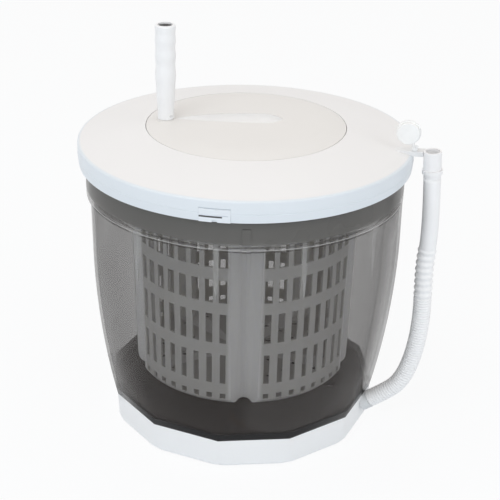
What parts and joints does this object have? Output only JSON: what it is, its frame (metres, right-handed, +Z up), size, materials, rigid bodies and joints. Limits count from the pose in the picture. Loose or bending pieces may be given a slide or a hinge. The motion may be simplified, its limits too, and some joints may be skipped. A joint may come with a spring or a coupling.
{
  "type": "portable washing machine",
  "caption": "Hand-cranked table-top washing machine: smoked twelve-sided tub, spinning slotted basket, domed lid with folding crank and planetary drive, ribbed drain hose.",
  "frame": {"origin": "middle of the underside, on the surface that the machine stands on", "axes": "+Z up along the tub's axis, front with its latch towards -Y, drain hose on the +X side"},
  "size_m": [0.3704, 0.34, 0.4227],
  "materials": {
    "smoked_tub": "glossy smoked clear plastic",
    "tray_white": "satin white plastic",
    "lid_white": "semi-gloss white plastic",
    "disc_ivory": "satin warm white plastic",
    "handle_white": "satin white plastic",
    "plug_dark": "matt dark plastic",
    "basket_white": "translucent frosted white plastic",
    "hose_white": "satin flexible white plastic",
    "stopper_white": "soft white rubber",
    "gear_nylon": "natural nylon",
    "inner_white": "moulded white plastic",
    "steel": "plain steel",
    "bush_brass": "plain brass",
    "rubber_grey": "matt grey rubber",
    "seal_silicone": "soft translucent silicone"
  },
  "bodies": {
    "base": {"tub": "smoked_tub", "base_tray": "tray_white", "rubber_feet": "rubber_grey", "base_screws": "steel", "basket_pivot_pin": "steel", "thrust_washer": "steel", "drain_elbow": "inner_white", "drain_seal": "seal_silicone"},
    "spin_basket": {"basket": "basket_white", "basket_cover": "basket_white", "basket_bush": "bush_brass"},
    "lid": {"lid_cover": "lid_white", "lid_underplate": "inner_white", "lid_screws": "steel", "lid_gasket": "seal_silicone", "glide_ring": "gear_nylon", "drive_bush": "bush_brass", "ring_gear": "gear_nylon", "hose_clip": "lid_white", "front_latch_pin": "steel", "back_latch_pin": "steel"},
    "crank": {"crank_disc": "disc_ivory", "carrier_plate": "inner_white", "planet_pins": "steel", "carrier_screws": "steel", "crank_spindle": "steel", "handle_hinge_pin": "steel"},
    "handle": {"crank_handle": "handle_white", "handle_end_plug": "plug_dark"},
    "planet_1": {"planet_gear_1": "gear_nylon"},
    "planet_2": {"planet_gear_2": "gear_nylon"},
    "planet_3": {"planet_gear_3": "gear_nylon"},
    "drive": {"drive_shaft": "inner_white", "sun_gear": "gear_nylon", "shaft_clip": "steel"},
    "front_latch_body": {"front_latch": "lid_white"},
    "back_latch_body": {"back_latch": "lid_white"},
    "stopper": {"hose_stopper": "stopper_white"},
    "hose": {"drain_hose": "hose_white", "hose_cuff": "hose_white", "hose_collar": "hose_white"}
  },
  "joints": [
    {"name": "lid_lift", "type": "slide", "parent": "base", "child": "lid", "axis": [0, 0, 1], "range_m": [0, 0.12]},
    {"name": "crank_turn", "type": "hinge", "parent": "lid", "child": "crank", "pos_m": [0, 0, 0.3205], "axis": [0, 0, 1], "continuous": true},
    {"name": "drive_spin", "type": "hinge", "parent": "lid", "child": "drive", "pos_m": [0, 0, 0.2835], "axis": [0, 0, 1], "continuous": true},
    {"name": "basket_spin", "type": "hinge", "parent": "base", "child": "spin_basket", "pos_m": [0, 0, 0.0635], "axis": [0, 0, 1], "continuous": true},
    {"name": "handle_fold", "type": "hinge", "parent": "crank", "child": "handle", "pos_m": [-0.07452, -0.01211, 0.3301], "axis": [-0.1604, 0.9871, 0], "range_deg": [0, 90]},
    {"name": "planet_1_spin", "type": "hinge", "parent": "crank", "child": "planet_1", "pos_m": [0.02789, 0.02277, 0.2978], "axis": [0, 0, 1], "continuous": true},
    {"name": "planet_2_spin", "type": "hinge", "parent": "crank", "child": "planet_2", "pos_m": [-0.03366, 0.01277, 0.2978], "axis": [0, 0, 1], "continuous": true},
    {"name": "planet_3_spin", "type": "hinge", "parent": "crank", "child": "planet_3", "pos_m": [0.00577, -0.03553, 0.2978], "axis": [0, 0, 1], "continuous": true},
    {"name": "front_latch_open", "type": "hinge", "parent": "lid", "child": "front_latch_body", "pos_m": [0, -0.1665, 0.2949], "axis": [-1, 0, 0], "range_deg": [0, 35]},
    {"name": "back_latch_open", "type": "hinge", "parent": "lid", "child": "back_latch_body", "pos_m": [0, 0.1665, 0.2949], "axis": [1, 0, 0], "range_deg": [0, 35]},
    {"name": "stopper_swing", "type": "hinge", "parent": "lid", "child": "stopper", "pos_m": [0.17084, -0.01721, 0.3153], "axis": [-0.4048, 0.6466, -0.6466], "range_deg": [0, 135.9]},
    {"name": "hose_swing", "type": "hinge", "parent": "base", "child": "hose", "pos_m": [0.1422, -0.018, 0.027], "axis": [0.8387, 0, 0.5446], "range_deg": [0, 110]}
  ],
  "couplings": [
    {"joint": "drive_spin", "follows": "crank_turn", "ratio": 4},
    {"joint": "basket_spin", "follows": "crank_turn", "ratio": 4},
    {"joint": "planet_1_spin", "follows": "crank_turn", "ratio": -3},
    {"joint": "planet_2_spin", "follows": "crank_turn", "ratio": -3},
    {"joint": "planet_3_spin", "follows": "crank_turn", "ratio": -3}
  ]
}
